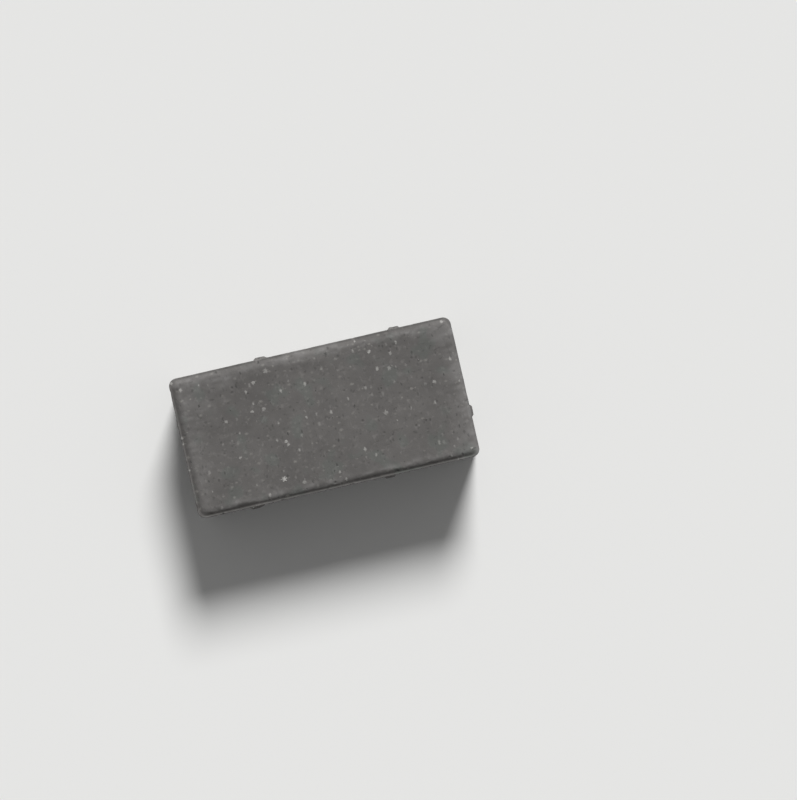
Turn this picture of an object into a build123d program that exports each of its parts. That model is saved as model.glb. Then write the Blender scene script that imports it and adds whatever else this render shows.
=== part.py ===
from build123d import *
from math import atan2, degrees, hypot, radians, tan
import os

# A pressed concrete paving stone, cast as one piece and laid face up in running bond.
# Origin: the middle of the bed face. +X runs along the stone, +Y across it, +Z up to the walking face.
# Sizes are in millimetres.

# Laying grid: each cell holds one stone and one joint
grid_length = 200.0
grid_width = 100.0
joint_width = 2.0

# Body
thickness = 60.0
corner_radius = 5.5

# Top edge, from the mould wall inwards: a flat land, then a slope up to the walking face
land_width = 1.5
land_edge_radius = 0.4
slope_width = 2.8
slope_height = 1.75
slope_foot_radius = 0.8
slope_foot_corner_radius = 5.0
face_edge_radius = 6.0
face_corner_radius = 4.0
edge_room_share = 0.95

# Spacer ribs: upright, and down to the bed face so that the mould can lift off
rib_base_width = 10.0
rib_crest_width = 6.0
rib_crest_radius = 0.8
rib_drop = 14.0
rib_fade_height = 5.0
rib_root = 1.0

# Places of the ribs along the back and the right side, from the middle. The front and the left side
# repeat them half a turn on. No two ribs meet in running bond, stack bond, basket weave or herringbone.
long_side_rib_places = (-35.0, 60.0)
short_side_rib_place = -18.0

# Sizes that follow from those above
body_length = grid_length - joint_width
body_width = grid_width - joint_width
land_height = thickness - slope_height
slope_length = hypot(slope_width, slope_height)
slope_angle = degrees(atan2(slope_height, slope_width))
rib_height = thickness - rib_drop


def rounded_outline(inset, radius):
    """The stone's outline in plan, moved in from the side walls by inset."""
    return RectangleRounded(body_length - 2 * inset, body_width - 2 * inset, radius)


def block():
    """The body up to the land, with its upright corners rounded by the mould."""
    solid = extrude(rounded_outline(0, corner_radius), land_height)
    return fillet(solid.edges().group_by(Axis.Z)[-1], land_edge_radius)


def eased_edge_radius():
    """The walking face's edge radius, kept within the slope and the face's own corners."""
    reach_per_radius = tan(radians(slope_angle / 2))
    room_on_slope = slope_length - slope_foot_radius * reach_per_radius
    room = edge_room_share * min(room_on_slope, face_corner_radius)
    return min(face_edge_radius, room / reach_per_radius)


def raised_face():
    """What stands above the land: a slope on all four sides, eased into the walking face."""
    foot = Pos(0, 0, land_height) * rounded_outline(land_width, slope_foot_corner_radius)
    face = Pos(0, 0, thickness) * rounded_outline(land_width + slope_width, face_corner_radius)
    solid = loft([foot, face], ruled=True)
    return fillet(solid.edges().group_by(Axis.Z)[-1], eased_edge_radius())


def pressed_body():
    """The body as the stamp leaves it, with a small hollow where the slope meets the land."""
    body = block() + raised_face()
    bed, land, walking_face = body.faces().filter_by(Axis.Z).sort_by(Axis.Z)
    return fillet(land.inner_wires()[0].edges(), slope_foot_radius)


def spacer_rib():
    """One rib standing out along +Y from the plane Y = 0, as deep as the joint, fading out at its top."""
    half_base = rib_base_width / 2
    half_crest = rib_crest_width / 2
    section = Polygon(
        (-half_base, -rib_root),
        (half_base, -rib_root),
        (half_base, 0),
        (half_crest, joint_width),
        (-half_crest, joint_width),
        (-half_base, 0),
        align=None,
    )
    section = fillet(section.vertices().group_by(Axis.Y)[-1], rib_crest_radius)
    column = extrude(section, rib_height)
    side_view = Polygon(
        (-rib_root, 0),
        (joint_width, 0),
        (joint_width, rib_height - rib_fade_height),
        (0, rib_height),
        (-rib_root, rib_height),
        align=None,
    )
    return column & extrude(Plane.YZ * side_view, half_base, both=True)


def placed_ribs():
    """Two ribs on each long side and one on each short side, alike after half a turn."""
    rib = spacer_rib()
    ribs = [Pos(x, body_width / 2, 0) * rib for x in long_side_rib_places]
    ribs.append(Pos(body_length / 2, short_side_rib_place, 0) * Rot(0, 0, -90) * rib)
    return ribs + [Rot(0, 0, 180) * one for one in ribs]


paving_stone = pressed_body() + placed_ribs()
paving_stone.label = "paving_stone"

os.makedirs("parts", exist_ok=True)
export_step(paving_stone, "parts/paving_stone.step")
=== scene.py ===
import math
from collections import namedtuple

import bpy
import numpy as np
from mathutils import Matrix, Vector


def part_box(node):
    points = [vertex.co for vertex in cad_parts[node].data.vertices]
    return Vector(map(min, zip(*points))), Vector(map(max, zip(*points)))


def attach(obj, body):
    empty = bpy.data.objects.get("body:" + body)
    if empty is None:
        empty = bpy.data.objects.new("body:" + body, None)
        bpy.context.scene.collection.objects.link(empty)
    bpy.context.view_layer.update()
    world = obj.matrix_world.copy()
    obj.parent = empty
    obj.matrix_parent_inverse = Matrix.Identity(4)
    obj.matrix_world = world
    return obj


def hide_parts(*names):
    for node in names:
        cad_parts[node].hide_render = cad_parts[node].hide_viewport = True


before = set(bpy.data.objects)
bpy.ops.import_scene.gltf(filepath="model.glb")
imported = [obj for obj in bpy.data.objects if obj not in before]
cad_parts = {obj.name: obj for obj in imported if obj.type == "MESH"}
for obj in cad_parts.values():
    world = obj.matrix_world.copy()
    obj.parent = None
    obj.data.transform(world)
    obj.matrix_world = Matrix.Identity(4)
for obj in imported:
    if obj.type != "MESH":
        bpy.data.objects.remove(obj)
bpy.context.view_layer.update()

# A pressed concrete paving stone on a pale floor, seen from straight above.
# Lengths are in metres. The origin is in the middle of the bed face, +X runs along the stone, +Z is up.

MM = 0.001
NODE = "paving_stone"

# Stands in for a length of zero where it divides
TINY = 1e-9

# The stone's form, as in the frame
joint = 2 * MM
corner_radius = 5.5 * MM
land_width = 1.5 * MM
land_edge_radius = 0.4 * MM
slope_width = 2.8 * MM
slope_height = 1.75 * MM
slope_foot_radius = 0.8 * MM
slope_foot_corner_radius = 5 * MM
face_edge_radius = 6 * MM
face_corner_radius = 4 * MM
rib_half_base = 5 * MM
rib_half_crest = 3 * MM
rib_drop = 14 * MM
rib_fade_height = 5 * MM
long_side_ribs = (-35 * MM, 60 * MM)
short_side_rib = -18 * MM

stone_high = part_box(NODE)[1]
thickness = stone_high.z
half_length = stone_high.x - joint
half_width = stone_high.y - joint
land_height = thickness - slope_height
wall_top = land_height - land_edge_radius
rib_top = thickness - rib_drop

# The edge profile: a hollow at the slope's foot and a wide round where it meets the walking face
slope_angle = math.atan2(slope_height, slope_width)
foot_reach = slope_foot_radius * math.tan(slope_angle / 2)
foot_start = land_width - foot_reach
foot_end = land_width + foot_reach * math.cos(slope_angle)
face_inset = land_width + slope_width
round_reach = face_edge_radius * math.tan(slope_angle / 2)
round_start = face_inset - round_reach * math.cos(slope_angle)
round_end = face_inset + round_reach

# How closely the walking side is divided: its edge zone has this many parts from each inset on
edge_zone = 12 * MM
edge_parts = (
    (0, 2),
    (land_edge_radius, 2),
    (foot_start, 1),
    (foot_end, 3),
    (round_start, 8),
    (round_end, 8),
)
face_step = 0.545 * MM

# The grid's corners are rounded as far in as this, and a point this near to a wall's plane is on that wall
rounding_depth = 0.9 * edge_zone
on_wall = MM / 10

# The side walls have a row at each of these heights and more between them, and the bed a narrow rim
wall_rows = (
    wall_top - 0.5 * MM,
    rib_top,
    rib_top - rib_fade_height,
    1.2 * MM,
    0.4 * MM,
    0,
)
wall_step = 1.8 * MM
bed_rim = 0.5 * MM

# Relief is made of layers of noise. Each has its height and the size of its bumps in millimetres, one size
# for all axes or one for each, and a seed.
face_swells = ((0.08, 38, 1), (0.05, 13, 2))
face_sand = ((0.02, 2.4, 3), (0.016, 1.3, 4))
face_rim = ((0.06, 7, 5), (0.07, 2.6, 6))
wall_drag = ((0.13, (4, 4, 45), 7), (0.1, (2.4, 2.4, 18), 8))
wall_grit = ((0.14, 6, 9), (0.12, 3, 10))
bed_grit = ((0.12, 9, 11), (0.16, 4, 12))

# Scattered pits: the spacing of their places, the share of places that hold one, the smallest and largest
# radius, a seed, and the depth as a share of the radius
Pits = namedtuple("Pits", "spacing share smallest largest seed depth")
face_pits = Pits(spacing=4.2 * MM, share=0.3, smallest=0.5 * MM, largest=1.1 * MM, seed=20, depth=0.4)
wall_pits = Pits(spacing=6.5 * MM, share=0.5, smallest=0.8 * MM, largest=2.0 * MM, seed=30, depth=0.65)
deep_pit = 0.5 * MM

# Chipped edges: how far from the edge they reach, the size and seed of the noise that places them, the
# levels of it between which a chip sets in, and its depth in millimetres
Chips = namedtuple("Chips", "reach size seed low high depth")
top_chips = Chips(reach=2.2 * MM, size=4.5 * MM, seed=13, low=0.55, high=0.95, depth=0.5)
bed_chips = Chips(reach=4 * MM, size=9 * MM, seed=14, low=0.1, high=0.9, depth=1.3)

# Where one kind of surface passes into the next: how far up or down a normal points, the ragged rim of the
# walking face, the calmer top of the side walls and their rougher lower part
facing_limits = (0.3, 0.75)
rim_fade = 3 * MM
calm_share = 0.25
calm_reach = 9 * MM
rough_below = 0.6 * thickness

# How far the relief is set back, in millimetres, so that it stays within the plain form
face_sink = 0.16
wall_sink = 0.15
bed_sink = 0.28

# The flat layout of the surface for baking, in shares of the map's width for each millimetre
map_edge = 0.005
map_scale = 0.005
map_face_row = 0.5 + map_edge
wall_map_scale = (0.0036, 0.00268)
wall_map_gap = 3.0
wall_map_row = 0.163
bed_map_edge = 0.735
bed_map_scale = 0.00245

# The camera: where the stone lies in the photograph's frame, in pixels from the top left
photo_width = 797
photo_height = 800
stone_middle_in_photo = (324.1, 417.7)
photo_pixels_per_metre = 1461.5
stone_turn = math.radians(12.9)
lens = 100.0
sensor = 36.0

# How much paler the walking side is along its edges, for each side, at these distances from its wall in
# millimetres. It is partly rubbed wear and partly painted light and shade: below zero near the slope's foot
# is painted shade in that hollow, and the high values at the rounded outer edge and the slope's upper round
# are painted light
pale_insets = (0, 1.5, 2.5, 4, 5.5, 7, 9, 12, 16)
wear_and_painted_light_back = (0.22, 0.14, 0.06, 0.19, 0.27, 0.08, 0.01, 0.0, 0)
wear_and_painted_light_front = (0.4, -0.14, -0.12, 0.4, 0.22, 0.07, 0.03, 0.02, 0)
wear_and_painted_light_left = (0.36, -0.16, 0.0, 0.06, 0.1, 0.14, 0.12, 0.11, 0.03)
wear_and_painted_light_right = (0.52, 0.42, 0.24, 0.22, 0.26, 0.22, 0.15, 0.1, 0.03)
corner_blend = 2 * MM

# How much paler the top of the side walls is
wall_top_pale = 0.07

# Patches of the walking side that are paler or darker than the rest: x, y, half length and half width in
# millimetres, and how much paler. Partly wear, and partly painted highlight on the rim of the back edge,
# which faces the lamp, broadest at the back left corner
wear_and_painted_light_patches = (
    (-4, 46, 28, 5.5, 0.22),
    (-8, 38, 16, 6, -0.06),
    (88, 41, 18, 9, 0.17),
    (55, -47, 40, 2.5, -0.12),
    (98, -46, 4, 7, 0.25),
    (-96, -48, 7, 3, 0.15),
    (48, 47, 32, 4, -0.09),
    (-82, 38, 30, 26, 0.16),
    (-58, 40, 18, 6, 0.09),
    (-90, 10, 12, 40, 0.05),
    (91, 0, 12, 16, 0.07),
    (88, -40, 14, 14, 0.05),
)
patch_fade = (0.4, 1.1)

# Layers of noise for the paler edges, with their wear and painted light and shade, as for the relief: how
# far their lines wander in millimetres, at which distances from a wall this sets in, the uneven outlines of
# the patches, and the mottling of both
line_wander = ((1.4, 21, 40), (1.7, 6, 41), (0.8, 2.6, 42))
wander_from = (2 * MM, 4 * MM)
patch_outline = ((0.3, 9, 43), (0.25, 4, 44))
mottling = ((0.4, 8, 45), (0.75, (4.5, 2.2, 4), 46))

# The most visible light grains in the walking face: x, y and radius in millimetres, and brightness
large_grains = (
    (-36, -35, 2.2, 0.6),
    (40, 37, 1.7, 0.5),
    (-29, -10, 1.5, 0.42),
    (79, 7, 1.7, 0.32),
    (-42, 34, 1.7, 0.34),
    (-32, 40, 2.2, 0.25),
    (-39, 15, 1.9, 0.26),
    (-47, 15, 1.5, 0.34),
    (-66, 12, 1.6, 0.28),
    (42, -6, 2.0, 0.25),
    (-23, -40, 1.8, 0.25),
    (51, 23, 1.8, 0.25),
    (-62, -14, 1.4, 0.32),
    (54, 33, 1.5, 0.28),
    (-97, 46, 1.4, 0.4),
    (94, -43, 1.2, 0.38),
    (-98, 8, 1.1, 0.3),
    (-98, -15, 1.2, 0.4),
)

# Their ragged outlines reach this far out for each millimetre of radius, and they lie above this height
grain_reach = 1.5 * MM
grains_from = land_height - MM

# Colours of the cement paste and of the sand in it
brown_paste = (0.1188, 0.1131, 0.1090, 1)
green_paste = (0.1140, 0.1158, 0.1092, 1)
worn_and_lit_paste = (0.1131, 0.1131, 0.1131, 1)
light_sand = (0.55, 0.54, 0.515, 1)
faint_sand = (0.34, 0.33, 0.305, 1)
dark_sand = (0.045, 0.0445, 0.043, 1)

# How light the paste is, as a factor on its colour, and how much that changes on the side walls
paste_level = 0.9
open_change = -0.04

# Clouds in the paste's tone: the size, detail and roughness of the noise, and how strong it is
tone_clouds = (
    (70 * MM, 0.0, 0.5, 0.14),
    (28 * MM, 2.0, 0.5, 0.16),
    (9 * MM, 2.0, 0.55, 0.16),
)

# Blotches: how the place is stretched, the size, detail and roughness of the noise, and the levels of it
# between which a blotch sets in
Blotches = namedtuple("Blotches", "stretch size detail roughness low high")
smears = Blotches(stretch=(1, 1, 1), size=5.5 * MM, detail=3.0, roughness=0.6, low=0.12, high=0.36)
marks = Blotches(stretch=(1.15, 0.9, 1), size=3.8 * MM, detail=1.0, roughness=0.5, low=0.18, high=0.45)
stains = Blotches(stretch=(0.9, 1.25, 1), size=3.0 * MM, detail=1.0, roughness=0.5, low=0.25, high=0.55)
green_areas = Blotches(stretch=(1, 1, 1), size=14 * MM, detail=1.0, roughness=0.5, low=0.12, high=0.36)
dragged_areas = Blotches(stretch=(1, 1, 0.09), size=9 * MM, detail=3.0, roughness=0.6, low=-0.25, high=0.35)

# Scattered grains: how the place is stretched, the spacing of their places, the share of places that hold
# one, their radius as a share of the spacing, and the share of the radius over which they fade out
Grains = namedtuple("Grains", "stretch spacing share radius fade")
light_grains = Grains(stretch=(1.25, 0.8, 1), spacing=4.2 * MM, share=0.6, radius=0.42, fade=0.7)
faint_grains = Grains(stretch=(0.85, 1.25, 1), spacing=3.0 * MM, share=0.55, radius=0.6, fade=0.9)
dark_grains = Grains(stretch=(1.3, 0.75, 1), spacing=3.0 * MM, share=0.6, radius=0.5, fade=0.8)
pores = Grains(stretch=(1, 1, 1), spacing=3.4 * MM, share=0.45, radius=0.42, fade=0.4)

# How few grains of a kind stand out, as a power of each one's random number, and how strongly they show
light_rarity = 2.6
light_strength = 0.8
light_limit = 0.36
faint_rarity = 2.0
faint_strength = 0.4
dark_rarity = 1.4

# Where grains crowd together: the mean of it and how far it swings, and the levels between which it lets
# the dark ones show
crowd_mean = 0.9
crowd_swing = 1.8
dark_levels = (-0.6, 1.5)

# The large grains' outlines: how ragged they are, and how near the middle a grain and its shine set in
rim_raggedness = 0.65
rim_levels = (0.38, 0.72)
shine_levels = (0.0, 0.3)

# Noise in the concrete: its size, detail and roughness
fine_noise = (0.45 * MM, 1.0, 0.5)
crowd_noise = (18 * MM, 1.0, 0.5)
rim_noise = (1.3 * MM, 2.0, 0.6)
grit_noise = (0.8 * MM, 2.0, 0.6)
streak_noise = (3.2 * MM, 4.0, 0.65)
streak_stretch = (1, 1, 0.09)

# Noise that pushes outlines about, and how far
warp_noise = (1.1 * MM, 2.0, 0.5)
slight_warp = 0.8 * MM
strong_warp = 1.3 * MM

# Packed sand, and the stones of the side walls with the gaps between them, which dragging closes
sand_spacing = 0.5 * MM
stone_spacing = 2.3 * MM
stone_stretch = (1, 1, 0.75)
gap_levels = (0.46, 0.7)
gap_closing = 0.75

# How much less green and less light sand the side walls show, how grey the paler edges are, with their wear
# and painted light, and how strongly a pit's depth is painted as shade
wall_green_loss = 0.7
wall_light_loss = 0.35
worn_and_lit_greyness = 0.65
pit_painted_shade = 0.5

# The concrete's surface
concrete_roughness = 0.92
concrete_specular = 0.35
bump_depth = 0.12 * MM

# Light: the share of it that comes from the lamp, and the lamp's place and width as seen from the stone
lamp_share = 0.8
lamp_height_angle = math.radians(36)
lamp_heading = math.radians(67.8)
lamp_width_angle = math.radians(19.4)
backdrop_level = 0.8

# The floor
floor_reach = 12.0
floor_colour = (0.78, 0.78, 0.77, 1)
floor_roughness = 0.9
floor_specular = 0.2


# Noise that is the same on every run

def cell_values(cells, seed):
    """A number from 0 to 1 for each whole-numbered cell, mixed from the bits of its place and the seed."""
    whole = cells.astype(np.int64).astype(np.uint64)
    mixed = whole[:, 0] * np.uint64(0x9E3779B1) + whole[:, 1] * np.uint64(0x85EBCA77)
    mixed += whole[:, 2] * np.uint64(0xC2B2AE3D) + np.uint64(seed * 0x27D4EB2F)
    mask = np.uint64(0xFFFFFFFF)
    for shift, factor in ((15, 0x2C1B3C6D), (12, 0x297A2D39), (15, 0x1B873593)):
        mixed &= mask
        mixed ^= mixed >> np.uint64(shift)
        mixed *= np.uint64(factor)
    mixed = (mixed & mask) >> np.uint64(8)
    return mixed.astype(float) / 0xFFFFFF


def noise(points, size, seed):
    """Smooth noise from -1 to 1 with bumps about size across; size is one length or one for each axis."""
    place = points / np.asarray(size, float)
    cell = np.floor(place)
    part = place - cell
    part = part * part * (3 - 2 * part)
    total = np.zeros(len(points))
    for corner in np.ndindex(2, 2, 2):
        weight = np.prod(np.where(np.array(corner) > 0, part, 1 - part), axis=1)
        total += weight * cell_values(cell + corner, seed)
    return 2 * total - 1


def layered(points, layers):
    """The sum of layers of noise, each a row of its height, its size in millimetres and its seed."""
    total = np.zeros(len(points))
    for height, size, seed in layers:
        total += height * noise(points, np.asarray(size, float) * MM, seed)
    return total


def pit_depth(points, pits):
    """How deep each point lies in scattered bowls, in metres: 0 outside, and a radius at a bowl's middle."""
    place = points / pits.spacing
    home = np.floor(place)
    depth = np.zeros(len(points))
    for step in np.ndindex(3, 3, 3):
        cell = home + np.array(step) - 1
        centre = cell + np.stack([cell_values(cell, pits.seed + axis) for axis in range(3)], axis=1)
        radius = pits.smallest + (pits.largest - pits.smallest) * cell_values(cell, pits.seed + 3) ** 2
        radius *= cell_values(cell, pits.seed + 4) < pits.share
        distance = np.linalg.norm(place - centre, axis=1) * pits.spacing
        bowl = np.clip(1 - (distance / np.maximum(radius, TINY)) ** 2, 0, 1)
        depth = np.maximum(depth, bowl * radius)
    return depth


def eased(value, low, high):
    """0 below low, 1 above high and a smooth step between."""
    part = np.clip((value - low) / (high - low), 0, 1)
    return part * part * (3 - 2 * part)


# The stone's surface

def edge_insets():
    """Distances in from the side walls at which the walking side is divided, up to the edge zone."""
    insets = []
    ends = [start for start, _ in edge_parts[1:]] + [edge_zone]
    for (start, parts), end in zip(edge_parts, ends):
        insets += list(np.linspace(start, end, parts, endpoint=False))
    return insets + [edge_zone]


def grid_lines(half, keys):
    """Grid lines from -half to half, close together at the ends, with an even line on each key."""
    marks = [0] + sorted(keys) + [half - edge_zone]
    lines = []
    for start, end in zip(marks, marks[1:]):
        parts = 2 * max(1, round((end - start) / (2 * face_step)))
        lines += list(np.linspace(start, end, parts, endpoint=False))
    lines += [half - inset for inset in reversed(edge_insets())]
    return np.array([-line for line in reversed(lines[1:])] + lines)


def bed_lines(lines):
    """Grid lines with the outermost two moved in by the width of the bed's rim."""
    moved = np.array(lines)
    moved[0] += bed_rim
    moved[-1] -= bed_rim
    return moved


def face_height(inset):
    """Height of the walking side at a distance in from the side walls."""
    outer = wall_top + np.sqrt(np.maximum(0, land_edge_radius**2 - (land_edge_radius - inset) ** 2))
    foot = land_height + slope_foot_radius
    foot = foot - np.sqrt(np.maximum(0, slope_foot_radius**2 - (inset - foot_start) ** 2))
    slope = land_height + (inset - land_width) * math.tan(slope_angle)
    arris = thickness - face_edge_radius
    arris = arris + np.sqrt(np.maximum(0, face_edge_radius**2 - (round_end - inset) ** 2))
    ends = (land_edge_radius, foot_start, foot_end, round_start, round_end)
    heights = [outer, land_height, foot, slope, arris]
    return np.select([inset < end for end in ends], heights, thickness)


def face_corner_radius_at(inset):
    """Corner radius of the walking side's level lines at a distance in from the side walls."""
    share_of_slope = (round_start - land_width) / slope_width
    narrowing = slope_foot_corner_radius - face_corner_radius
    corners = (
        (0, corner_radius),
        (land_edge_radius, corner_radius - land_edge_radius),
        (land_width, slope_foot_corner_radius),
        (round_start, slope_foot_corner_radius - narrowing * share_of_slope),
        (round_end, face_corner_radius - round_reach),
        (rounding_depth, 0),
    )
    insets, radii = zip(*corners)
    return np.interp(inset, insets, radii)


def bed_corner_radius_at(inset):
    """Corner radius of the bed's outline and of the grid within it."""
    return np.interp(inset, [0, rounding_depth], [corner_radius, 0])


def rounded(x, y, radius_at):
    """Moves grid points near the corners onto rounded outlines. Returns x, y and the inset of each."""
    end_inset = half_length - np.abs(x)
    side_inset = half_width - np.abs(y)
    inset = np.minimum(end_inset, side_inset)
    leg = np.maximum(edge_zone - inset, TINY)
    radius = np.maximum(radius_at(inset), TINY)
    arc = radius * math.pi / 4
    travel = (np.maximum(end_inset, side_inset) - inset) / leg * (leg - radius + arc)
    turn = math.pi / 4 - np.minimum(travel, arc) / radius
    near = inset + radius * (1 - np.cos(turn))
    far = inset + radius * (1 - np.sin(turn)) + np.maximum(0, travel - arc)
    corner = (end_inset < edge_zone) & (side_inset < edge_zone)
    by_end = end_inset <= side_inset
    new_end = np.where(corner, np.where(by_end, near, far), end_inset)
    new_side = np.where(corner, np.where(by_end, far, near), side_inset)
    return np.sign(x) * (half_length - new_end), np.sign(y) * (half_width - new_side), inset


def border(columns, rows):
    """Grid indices round a grid's border, counter-clockwise from its first corner."""
    loop = [(i, 0) for i in range(columns - 1)]
    loop += [(columns - 1, j) for j in range(rows - 1)]
    loop += [(i, rows - 1) for i in range(columns - 1, 0, -1)]
    return loop + [(0, j) for j in range(rows - 1, 0, -1)]


def rib_edges():
    """Offsets of a rib's creases from its middle."""
    return (-rib_half_base, -rib_half_crest, rib_half_crest, rib_half_base)


def rib_section(offset):
    """How far a rib stands out at an offset from its middle."""
    return joint * np.clip((rib_half_base - np.abs(offset)) / (rib_half_base - rib_half_crest), 0, 1)


def rib_depth(x, y, z):
    """How far the wall stands out at the spacer ribs, for points on the side walls."""
    depth = np.zeros(len(x))
    for side in (1, -1):
        for place in long_side_ribs:
            on_side = side * y > half_width - on_wall
            depth = np.maximum(depth, rib_section(x - side * place) * on_side)
        on_side = side * x > half_length - on_wall
        depth = np.maximum(depth, rib_section(y - side * short_side_rib) * on_side)
    fade = joint * np.clip((rib_top - z) / rib_fade_height, 0, 1)
    return np.minimum(depth, fade)


def wall_levels():
    """Heights of the rows of the side walls, from below the top edge down to the bed."""
    levels = []
    for start, end in zip(wall_rows, wall_rows[1:]):
        parts = max(1, round((start - end) / wall_step))
        levels += list(np.linspace(start, end, parts, endpoint=False))
    return levels + [0]


def strip(outer, inner):
    """Faces between two closed rows of vertices; outer may have twice as many as inner."""
    count = len(inner)
    if len(outer) == count:
        return [(outer[k], outer[k - 1], inner[k - 1], inner[k]) for k in range(count)]
    faces = []
    for k in range(count):
        first, middle, last = outer[2 * k - 2], outer[2 * k - 1], outer[2 * k]
        faces += [(middle, first, inner[k - 1]), (inner[k], middle, inner[k - 1]), (last, middle, inner[k])]
    return faces


class Surface:
    """Vertices and faces of the stone, gathered piece by piece."""

    def __init__(self):
        self.points = []
        self.insets = []
        self.faces = []
        self.count = 0

    def add(self, x, y, z, inset):
        """Adds vertices and returns their indices."""
        self.points.append(np.stack([x, y, np.broadcast_to(z, x.shape)], axis=1))
        self.insets.append(np.broadcast_to(inset, x.shape))
        first = self.count
        self.count += len(x)
        return np.arange(first, self.count)

    def add_grid(self, x_lines, y_lines, radius_at, height_at, facing):
        """Adds a grid on the walking side (facing 1) or the bed (facing -1) and returns its border."""
        x, y = np.meshgrid(x_lines, y_lines, indexing="ij")
        x, y, inset = rounded(x.ravel(), y.ravel(), radius_at)
        index = self.add(x, y, height_at(inset), inset).reshape(len(x_lines), len(y_lines))
        corners = [index[:-1, :-1], index[1:, :-1], index[1:, 1:], index[:-1, 1:]][::facing]
        self.faces += np.stack([c.ravel() for c in corners], axis=1).tolist()
        return [index[spot] for spot in border(len(x_lines), len(y_lines))]


def stone_surface():
    """The stone's plain surface: the walking side, the side walls with their ribs, and the bed."""
    x_lines = grid_lines(half_length, [abs(p) + s for p in long_side_ribs for s in rib_edges()])
    y_lines = grid_lines(half_width, [abs(short_side_rib) + s for s in rib_edges()])
    surface = Surface()
    above = surface.add_grid(x_lines, y_lines, face_corner_radius_at, face_height, 1)

    # The walls and the bed have every second and every fourth of the walking side's lines
    loop = border(len(x_lines[::2]), len(y_lines[::2]))
    x = np.array([x_lines[::2][i] for i, j in loop])
    y = np.array([y_lines[::2][j] for i, j in loop])
    x, y, _ = rounded(x, y, face_corner_radius_at)
    walls_from = len(surface.faces)
    for level in wall_levels():
        depth = rib_depth(x, y, np.full(len(x), level))
        out_x = x + np.sign(x) * depth * (np.abs(x) > half_length - on_wall)
        out_y = y + np.sign(y) * depth * (np.abs(y) > half_width - on_wall)
        below = list(surface.add(out_x, out_y, level, level - wall_top))
        surface.faces += strip(above, below)
        above = below
    walls_to = len(surface.faces)
    bed_x = bed_lines(x_lines[::4])
    bed_y = bed_lines(y_lines[::4])
    bed = surface.add_grid(bed_x, bed_y, bed_corner_radius_at, np.zeros_like, -1)
    surface.faces += strip(above, bed)
    return surface, walls_from, walls_to


def chip_depth(points, distance, share, chips):
    """How deep an edge is chipped, in millimetres, at a distance from it and in the share of the surface
    that it bounds."""
    nearness = share * np.clip(1 - distance / chips.reach, 0, 1)
    return nearness * eased(noise(points, chips.size, chips.seed), chips.low, chips.high) * chips.depth


def relief(points, normals, insets):
    """The rough surface's height over the plain one and its depth in pits, both in metres, and the share of
    each point that the mould has left unpressed."""
    z = points[:, 2]
    face = eased(normals[:, 2], *facing_limits)
    bed = eased(-normals[:, 2], *facing_limits)
    wall = 1 - face - bed
    rim = face * (1 - eased(insets, round_end, round_end + rim_fade))
    calm = calm_share + (1 - calm_share) * eased(wall_top - z, 0, calm_reach)
    lower = 1 + eased(-z, -rough_below, 0)

    height = face * (layered(points, face_swells) + layered(points, face_sand))
    height += rim * layered(points, face_rim)
    height += wall * calm * (layered(points, wall_drag) + lower * layered(points, wall_grit))
    height += bed * layered(points, bed_grit)
    height -= face * face_sink + wall * calm * wall_sink + bed * bed_sink
    height -= chip_depth(points, np.abs(insets), z > rib_top, top_chips)
    height -= chip_depth(points, z, 1 - bed, bed_chips)

    hollow = face * face_pits.depth * pit_depth(points, face_pits)
    hollow += (wall + bed) * wall_pits.depth * pit_depth(points, wall_pits)
    return height * MM - hollow, hollow, wall + bed


def spread_out(plain, mesh, walls_from, walls_to):
    """Lays the surface out flat for baking: the walking side above, the side walls and the bed below it."""
    x, y, z = (plain / MM).T
    half_x, half_y = half_length / MM, half_width / MM
    sizes = np.zeros(len(mesh.polygons), dtype=int)
    mesh.polygons.foreach_get("loop_total", sizes)
    face = np.repeat(np.arange(len(sizes)), sizes)
    point = np.zeros(len(mesh.loops), dtype=int)
    mesh.loops.foreach_get("vertex_index", point)
    middle_x = np.bincount(face, x[point]) / sizes
    middle_y = np.bincount(face, y[point]) / sizes
    on_end = half_x - np.abs(middle_x) < half_y - np.abs(middle_y)
    order = np.arange(len(sizes))
    is_wall = (order >= walls_from) & (order < walls_to)

    # The kinds, in this order: walking side, front, back, right and left wall, and the bed
    kinds = [
        order < walls_from,
        is_wall & ~on_end & (middle_y < 0),
        is_wall & ~on_end,
        is_wall & (middle_x > 0),
        is_wall,
    ]
    kind = np.select(kinds, range(5), 5)[face]
    px, py, pz = x[point], y[point], z[point]
    from_left, from_front = px + half_x, py + half_y
    from_right, from_back = half_x - px, half_y - py
    u = np.choose(kind, [
        map_edge + map_scale * from_left,
        map_edge + wall_map_scale[0] * from_left,
        map_edge + wall_map_scale[0] * from_right,
        map_edge + wall_map_scale[0] * from_front,
        map_edge + wall_map_scale[0] * (2 * half_y + wall_map_gap + from_back),
        bed_map_edge + bed_map_scale * from_front,
    ])
    rise = map_edge + wall_map_scale[1] * pz
    v = np.choose(kind, [
        map_face_row + map_scale * from_front,
        rise,
        rise + wall_map_row,
        rise + 2 * wall_map_row,
        rise + 2 * wall_map_row,
        map_edge + bed_map_scale * from_left,
    ])
    layer = mesh.uv_layers.new(name="OFBake")
    layer.data.foreach_set("uv", np.stack([u, v], axis=1).ravel())


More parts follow.
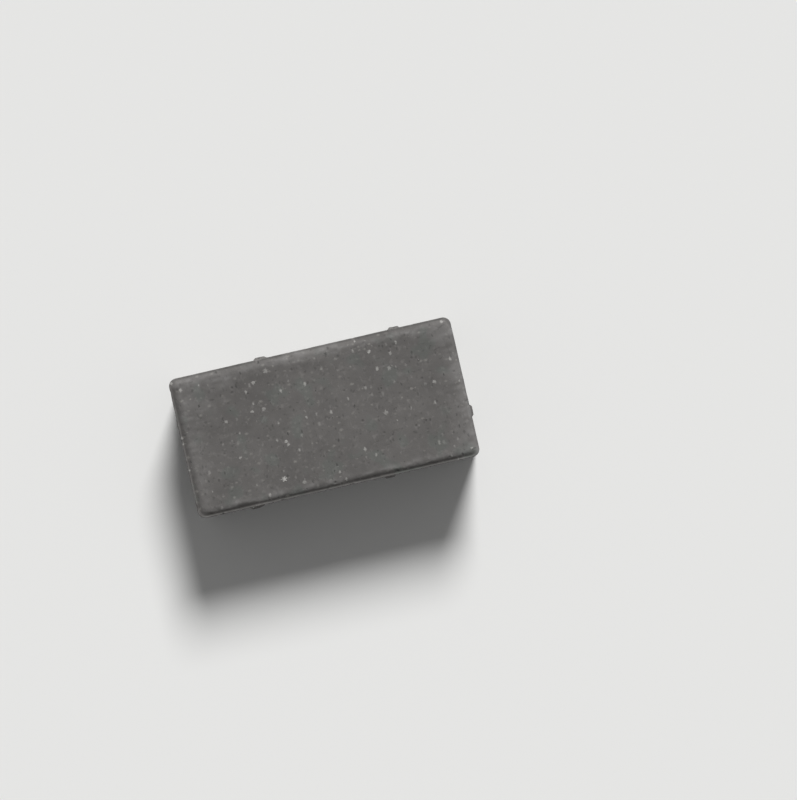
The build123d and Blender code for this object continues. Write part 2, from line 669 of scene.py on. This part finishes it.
def paleness(points, insets, unpressed):
    """How much paler the concrete is along its edges and in patches: partly rubbed wear, partly painted
    light and shade.
    """
    x, y = points[:, 0], points[:, 1]
    reaches = [half_width - y, half_width + y, half_length + x, half_length - x]
    nearest = np.minimum.reduce(reaches)
    wander = layered(points, line_wander) * eased(nearest, *wander_from) * MM
    total = np.zeros(len(points))
    weights = np.zeros(len(points))
    for reach, shades in zip(reaches, (wear_and_painted_light_back, wear_and_painted_light_front, wear_and_painted_light_left, wear_and_painted_light_right)):
        weight = np.exp((nearest - reach) / corner_blend)
        total += weight * np.interp((reach + wander) / MM, pale_insets, shades)
        weights += weight
    pale = total / weights

    uneven = layered(points, patch_outline)
    for middle_x, middle_y, half_x, half_y, shade in wear_and_painted_light_patches:
        reach = np.hypot((x / MM - middle_x) / half_x, (y / MM - middle_y) / half_y) + uneven
        pale += shade * (1 - eased(reach, *patch_fade))
    pale *= 1 + layered(points, mottling)
    return pale * (1 - unpressed) + wall_top_pale * unpressed * (1 - eased(-insets, 0, calm_reach))


def nearest_grain(points):
    """How near a large light grain's middle each point lies, from 0 to 1, and that grain's brightness."""
    nearness = np.zeros(len(points))
    shine = np.zeros(len(points))
    for x, y, radius, brightness in large_grains:
        distance = np.hypot(points[:, 0] - x * MM, points[:, 1] - y * MM) / (grain_reach * radius)
        nearer = (distance < 1 - nearness) & (points[:, 2] > grains_from)
        nearness = np.where(nearer, 1 - distance, nearness)
        shine = np.where(nearer, brightness, shine)
    return nearness, shine


def stone_mesh():
    """The stone as a closed mesh with its relief, and with what its material reads at each point."""
    surface, walls_from, walls_to = stone_surface()
    points = np.concatenate(surface.points)
    insets = np.concatenate(surface.insets)
    mesh = bpy.data.meshes.new("textured_stone")
    mesh.from_pydata(points.tolist(), [], surface.faces)
    mesh.update()
    normals = np.zeros(len(points) * 3)
    mesh.vertex_normals.foreach_get("vector", normals)
    normals = normals.reshape(-1, 3)
    spread_out(points, mesh, walls_from, walls_to)

    # The relief only goes inwards, and the bed stays on the floor
    rise, hollow, unpressed = relief(points, normals, insets)
    points = points + normals * np.minimum(rise, 0)[:, None]
    points[:, 2] = np.maximum(points[:, 2], 0)
    mesh.vertices.foreach_set("co", points.ravel())
    mesh.update()
    mesh.polygons.foreach_set("use_smooth", [True] * len(mesh.polygons))

    nearness, shine = nearest_grain(points)
    values = {
        "pale": paleness(points, insets, unpressed),
        "grain": nearness,
        "shine": shine,
        "hollow": np.clip(hollow / deep_pit, 0, 1),
        "unpressed": unpressed,
    }
    for name, value in values.items():
        mesh.attributes.new(name, "FLOAT", "POINT").data.foreach_set("value", value)
    return mesh


# The concrete

class Nodes:
    """Short names for the nodes of one material or world."""

    def __init__(self, tree):
        self.tree = tree

    def add(self, kind, **settings):
        node = self.tree.nodes.new("ShaderNode" + kind)
        for name, value in settings.items():
            setattr(node, name, value)
        return node

    def plug(self, value, socket):
        """Links an output to a socket, or sets the socket to a value."""
        if isinstance(value, bpy.types.NodeSocket):
            self.tree.links.new(value, socket)
        else:
            socket.default_value = value

    def math(self, operation, *values):
        node = self.add("Math", operation=operation)
        for value, socket in zip(values, node.inputs):
            self.plug(value, socket)
        return node.outputs[0]

    def times(self, first, second):
        return self.math("MULTIPLY", first, second)

    def weighted(self, base, *parts):
        """A base and parts added to it, each a value and its weight."""
        total = base
        for value, weight in parts:
            total = self.math("ADD", total, self.times(value, weight))
        return total

    def step(self, value, low, high):
        """0 below low, 1 above high and a smooth step between."""
        node = self.add("MapRange", interpolation_type="SMOOTHSTEP")
        for name, entry in (("Value", value), ("From Min", low), ("From Max", high)):
            self.plug(entry, node.inputs[name])
        return node.outputs["Result"]

    def attribute(self, name):
        """A number that the mesh holds for each of its points."""
        return self.add("Attribute", attribute_name=name).outputs["Fac"]

    def stretched(self, place, factors):
        """Coordinates scaled along each axis."""
        node = self.add("VectorMath", operation="MULTIPLY")
        self.plug(place, node.inputs[0])
        self.plug(factors, node.inputs[1])
        return node.outputs[0]

    def noise_node(self, place, size, detail, roughness):
        node = self.add("TexNoise")
        self.plug(place, node.inputs["Vector"])
        self.plug(1 / size, node.inputs["Scale"])
        self.plug(detail, node.inputs["Detail"])
        self.plug(roughness, node.inputs["Roughness"])
        return node

    def noise(self, place, size, detail, roughness):
        """Noise from about -1 to 1 with bumps about size across."""
        node = self.noise_node(place, size, detail, roughness)
        return self.math("MULTIPLY_ADD", node.outputs["Fac"], 2.0, -1.0)

    def warped(self, place, reach):
        """Coordinates pushed about by noise, so that what is drawn with them has uneven outlines."""
        push = self.noise_node(place, *warp_noise)
        moved = self.add("VectorMath", operation="MULTIPLY_ADD")
        self.plug(push.outputs["Color"], moved.inputs[0])
        self.plug((2 * reach,) * 3, moved.inputs[1])
        self.plug(place, moved.inputs[2])
        return moved.outputs[0]

    def blotches(self, place, kind):
        """1 within blotches of a kind, 0 between them and a smooth step at their outlines."""
        level = self.noise(self.stretched(place, kind.stretch), kind.size, kind.detail, kind.roughness)
        return self.step(level, kind.low, kind.high)

    def cells(self, place, spacing):
        """Packed grains: the distance from each one's middle, and two random numbers for each grain."""
        node = self.add("TexVoronoi", feature="F1")
        self.plug(place, node.inputs["Vector"])
        self.plug(1 / spacing, node.inputs["Scale"])
        tint = self.add("SeparateColor")
        self.plug(node.outputs["Color"], tint.inputs[0])
        return node.outputs["Distance"], tint.outputs[0], tint.outputs[1]

    def grains(self, place, kind):
        """Scattered grains of a kind: a mask and a random number for each grain."""
        distance, chance, number = self.cells(self.stretched(place, kind.stretch), kind.spacing)
        radius = self.times(self.step(chance, 1 - kind.share, 1.0), kind.radius)
        outside = self.step(distance, self.times(radius, 1 - kind.fade), radius)
        kept = self.math("GREATER_THAN", chance, 1 - kind.share)
        return self.times(self.math("SUBTRACT", 1.0, outside), kept), number

    def mix(self, share, first, second):
        """Mixes two colours."""
        node = self.add("Mix", data_type="RGBA")
        self.plug(share, node.inputs["Factor"])
        self.plug(first, node.inputs[6])
        self.plug(second, node.inputs[7])
        return node.outputs[2]

    def scale(self, colour, factor):
        """A colour made lighter or darker by a factor."""
        node = self.add("VectorMath", operation="SCALE")
        self.plug(colour, node.inputs[0])
        self.plug(factor, node.inputs["Scale"])
        return node.outputs[0]


def paste_tone(n, place, loose, fine, sand_tone):
    """How light the pressed paste is, as a factor on its colour."""
    clouds = [(n.noise(place, *kind), strength) for *kind, strength in tone_clouds]
    return n.weighted(
        paste_level,
        *clouds,
        (n.blotches(place, smears), 0.13),
        (n.blotches(loose, marks), 0.18),
        (n.blotches(loose, stains), -0.22),
        (fine, 0.045),
        (sand_tone, 0.035),
        # The paler edges and patches: wear, with painted light and shade along the edges
        (n.attribute("pale"), 1.0),
    )


def paste_colour(n, place, unpressed):
    """The paste's colour: brownish, with greenish areas, and greyer where the edges are paler from wear and
    painted light.
    """
    green = n.times(n.blotches(place, green_areas), n.weighted(1.0, (unpressed, -wall_green_loss)))
    paste = n.mix(green, brown_paste, green_paste)
    return n.mix(n.times(n.attribute("pale"), worn_and_lit_greyness), paste, worn_and_lit_paste)


def open_texture(n, place, uneven, sand_distance, sand_tone):
    """What sets the granular side walls and bed off from the pressed face: a change of tone and a height."""
    streak = n.noise(n.stretched(place, streak_stretch), *streak_noise)
    dragged = n.blotches(place, dragged_areas)
    distance, stone_tone, _ = n.cells(n.stretched(uneven, stone_stretch), stone_spacing)
    gap = n.times(n.step(distance, *gap_levels), n.weighted(1.0, (dragged, -gap_closing)))
    pore, _ = n.grains(uneven, pores)
    # Painted shade: the gaps, the pores and the low parts of the streaks are darker, as they are lower in
    # height
    tone = n.weighted(
        open_change,
        (streak, 0.2),
        (stone_tone, 0.14),
        (dragged, 0.06),
        (gap, -0.32),
        (pore, -0.42),
        (sand_tone, 0.22),
    )
    height = n.weighted(0.0, (streak, 1.2), (gap, -1.4), (pore, -1.6), (sand_distance, -1.0))
    return tone, height


def light_mask(n, place, loose, crowd, unpressed):
    """The light grains: small ones all over, and the large ones in their places."""
    small, number = n.grains(loose, light_grains)
    strength = n.times(n.times(n.math("POWER", number, light_rarity), crowd), light_strength)
    strength = n.math("MINIMUM", strength, light_limit)
    small = n.times(small, n.times(strength, n.weighted(1.0, (unpressed, -wall_light_loss))))
    nearness = n.attribute("grain")
    outline = n.weighted(nearness, (n.noise(place, *rim_noise), rim_raggedness))
    shine = n.times(n.attribute("shine"), n.step(nearness, *shine_levels))
    large = n.times(n.step(outline, *rim_levels), shine)
    return n.math("MAXIMUM", small, large)


def concrete():
    """Dark grey pressed concrete: cement paste with light and dark sand grains, pores and paler edges."""
    material = bpy.data.materials.new("dark_concrete")
    material.use_nodes = True
    n = Nodes(material.node_tree)
    shader = material.node_tree.nodes["Principled BSDF"]
    place = n.add("TexCoord").outputs["Object"]
    unpressed = n.attribute("unpressed")
    uneven = n.warped(place, strong_warp)
    loose = n.warped(place, slight_warp)
    fine = n.noise(place, *fine_noise)
    sand_distance, sand_tone, _ = n.cells(uneven, sand_spacing)
    open_tone, open_height = open_texture(n, place, uneven, sand_distance, sand_tone)
    tone = n.weighted(paste_tone(n, place, loose, fine, sand_tone), (open_tone, unpressed))

    crowd = n.weighted(crowd_mean, (n.noise(place, *crowd_noise), crowd_swing))
    light = light_mask(n, place, loose, crowd, unpressed)
    faint, number = n.grains(loose, faint_grains)
    faint = n.times(faint, n.times(n.math("POWER", number, faint_rarity), faint_strength))
    dark, number = n.grains(loose, dark_grains)
    dark = n.times(dark, n.times(n.math("POWER", number, dark_rarity), n.step(crowd, *dark_levels)))

    colour = n.scale(paste_colour(n, place, unpressed), tone)
    colour = n.mix(faint, colour, faint_sand)
    colour = n.mix(light, colour, light_sand)
    colour = n.mix(dark, colour, dark_sand)
    # Painted shade in the pits: the deeper a pit, the darker
    colour = n.mix(n.times(n.attribute("hollow"), pit_painted_shade), colour, dark_sand)
    n.plug(colour, shader.inputs["Base Color"])
    n.plug(n.weighted(concrete_roughness, (light, -0.35), (fine, 0.05)), shader.inputs["Roughness"])
    shader.inputs["Specular IOR Level"].default_value = concrete_specular

    grit = n.noise(place, *grit_noise)
    height = n.weighted(0.0, (grit, 0.2), (sand_distance, -0.14), (dark, -1.0), (light, 3.0))
    bump = n.add("Bump")
    bump.inputs["Strength"].default_value = 1.0
    bump.inputs["Distance"].default_value = bump_depth
    n.plug(n.weighted(height, (open_height, unpressed)), bump.inputs["Height"])
    n.plug(bump.outputs["Normal"], shader.inputs["Normal"])
    return material


def make_stone():
    """The dressed stone, which stands for the frame's plain one."""
    stone = bpy.data.objects.new("textured_stone", stone_mesh())
    bpy.context.scene.collection.objects.link(stone)
    stone.data.materials.append(concrete())
    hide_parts(NODE)
    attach(stone, "root")
    return stone


# The studio

def plain_material(name, colour, roughness, specular):
    """A material of one colour."""
    material = bpy.data.materials.new(name)
    material.use_nodes = True
    shader = material.node_tree.nodes["Principled BSDF"]
    shader.inputs["Base Color"].default_value = colour
    shader.inputs["Roughness"].default_value = roughness
    shader.inputs["Specular IOR Level"].default_value = specular
    return material


def make_floor():
    """A wide pale floor at the height of the bed face."""
    mesh = bpy.data.meshes.new("floor")
    corners = [(-1, -1, 0), (1, -1, 0), (1, 1, 0), (-1, 1, 0)]
    mesh.from_pydata([Vector(corner) * floor_reach for corner in corners], [], [(0, 1, 2, 3)])
    floor = bpy.data.objects.new("floor", mesh)
    bpy.context.scene.collection.objects.link(floor)
    mesh.materials.append(plain_material("pale_floor", floor_colour, floor_roughness, floor_specular))


def make_light():
    """One wide soft lamp from beyond the stone's far side, and an even surround. Together they light a
    level surface so that its colour renders as it is written."""
    heading = Vector((math.cos(lamp_heading), math.sin(lamp_heading), 0))
    direction = heading * math.cos(lamp_height_angle) + Vector((0, 0, math.sin(lamp_height_angle)))
    lamp = bpy.data.lights.new("soft_lamp", "SUN")
    lamp.angle = lamp_width_angle
    lamp.energy = lamp_share * math.pi / math.sin(lamp_height_angle)
    holder = bpy.data.objects.new("soft_lamp", lamp)
    bpy.context.scene.collection.objects.link(holder)
    holder.location = direction
    holder.rotation_mode = "QUATERNION"
    holder.rotation_quaternion = direction.to_track_quat("Z", "Y")
    holder.visible_camera = False

    world = bpy.data.worlds.new("studio")
    bpy.context.scene.world = world
    world.use_nodes = True
    n = Nodes(world.node_tree)
    background = world.node_tree.nodes["Background"]
    path = n.add("LightPath")
    seen = n.math("MAXIMUM", path.outputs["Is Camera Ray"], path.outputs["Is Glossy Ray"])
    seen = n.math("MAXIMUM", seen, path.outputs["Is Transmission Ray"])
    fill_share = 1 - lamp_share
    level = n.math("MULTIPLY_ADD", seen, backdrop_level - fill_share, fill_share)
    n.plug(level, background.inputs["Strength"])
    background.inputs["Color"].default_value = (1, 1, 1, 1)


def make_camera():
    """A long lens straight above, framed as the photograph is."""
    right = Vector((math.cos(stone_turn), -math.sin(stone_turn), 0))
    up = Vector((math.sin(stone_turn), math.cos(stone_turn), 0))
    across = (photo_width / 2 - stone_middle_in_photo[0]) / photo_pixels_per_metre
    upward = (stone_middle_in_photo[1] - photo_height / 2) / photo_pixels_per_metre
    target = right * across + up * upward + Vector((0, 0, thickness))
    half_frame = photo_height / photo_pixels_per_metre / 2
    data = bpy.data.cameras.new("camera")
    data.lens = lens
    data.sensor_width = sensor
    data.clip_end = 100
    camera = bpy.data.objects.new("camera", data)
    bpy.context.scene.collection.objects.link(camera)
    camera.location = target + Vector((0, 0, half_frame * lens / (sensor / 2)))
    axes = Matrix((right, up, Vector((0, 0, 1)))).transposed()
    camera.rotation_euler = axes.to_euler()
    bpy.context.scene.camera = camera


make_stone()
make_floor()
make_light()
make_camera()
bpy.context.scene.view_settings.view_transform = "Standard"
